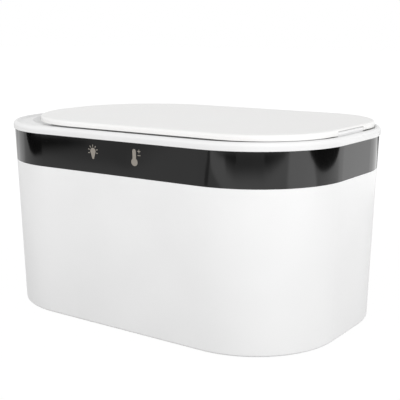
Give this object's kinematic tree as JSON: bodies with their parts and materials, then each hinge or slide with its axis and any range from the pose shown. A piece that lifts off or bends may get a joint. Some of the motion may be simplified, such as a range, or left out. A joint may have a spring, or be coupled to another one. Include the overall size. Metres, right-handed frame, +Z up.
{
  "type": "baby wipe warmer",
  "caption": "Heated box for a stack of baby wipes, with a sealed hinged lid, a finger scoop at one end and a touch band round the top.",
  "frame": {"origin": "centre of the box round the whole object, on the surface it stands on", "axes": "+X along the length, from the finger scoop to the hinge; the front with the touch symbols faces -Y; +Z up"},
  "size_m": [0.2216, 0.1456, 0.1172],
  "materials": {
    "white_plastic": "white ABS, moulded with a low gloss",
    "lid_plastic": "white ABS, moulded with a satin top and glossy edges",
    "black_gloss": "polished black acrylic",
    "inner_plastic": "white polypropylene, satin",
    "silicone": "soft translucent silicone",
    "rubber": "moulded dark grey rubber",
    "steel": "zinc plated steel",
    "aluminium": "rolled aluminium sheet",
    "heating_film": "amber polyimide film",
    "foam": "closed-cell foam",
    "circuit_board": "green glass-epoxy laminate",
    "black_resin": "moulded black resin",
    "connector_plastic": "natural nylon",
    "conductive_rubber": "conductive foam rubber",
    "lamp_resin": "warm diffusing resin",
    "red_wire": "PVC insulation",
    "white_wire": "PVC insulation"
  },
  "bodies": {
    "root": {"outer_housing": "white_plastic", "control_band": "black_gloss", "top_rim": "white_plastic", "hinge_pin": "steel", "inner_tub": "inner_plastic", "heat_spreader": "aluminium", "floor_heating_film": "heating_film", "wall_heating_film": "heating_film", "insulation_board": "foam", "insulation_sleeve": "foam", "temperature_sensor": "black_resin", "thermal_fuse": "steel", "control_board": "circuit_board", "control_chip": "black_resin", "power_switch": "black_resin", "capacitors": "aluminium", "board_connectors": "connector_plastic", "touch_board": "circuit_board", "touch_pads": "conductive_rubber", "indicator_leds": "lamp_resin", "dc_jack": "black_resin", "jack_nut": "steel", "base_plate": "inner_plastic", "rubber_feet": "rubber", "base_screws": "steel", "rim_screws": "steel", "tub_screws": "steel", "board_screws": "steel", "touch_board_screws": "steel", "power_wires": "red_wire", "heater_wires": "white_wire", "sensor_wires": "white_wire", "touch_ribbon": "white_wire"},
    "lid": {"lid_cover": "lid_plastic", "lid_liner": "inner_plastic", "lid_seal": "silicone"}
  },
  "joints": [
    {"name": "lid_hinge", "type": "hinge", "parent": "root", "child": "lid", "pos_m": [0.1045, 0, 0.11455], "axis": [0, 1, 0], "range_deg": [0, 100]}
  ]
}
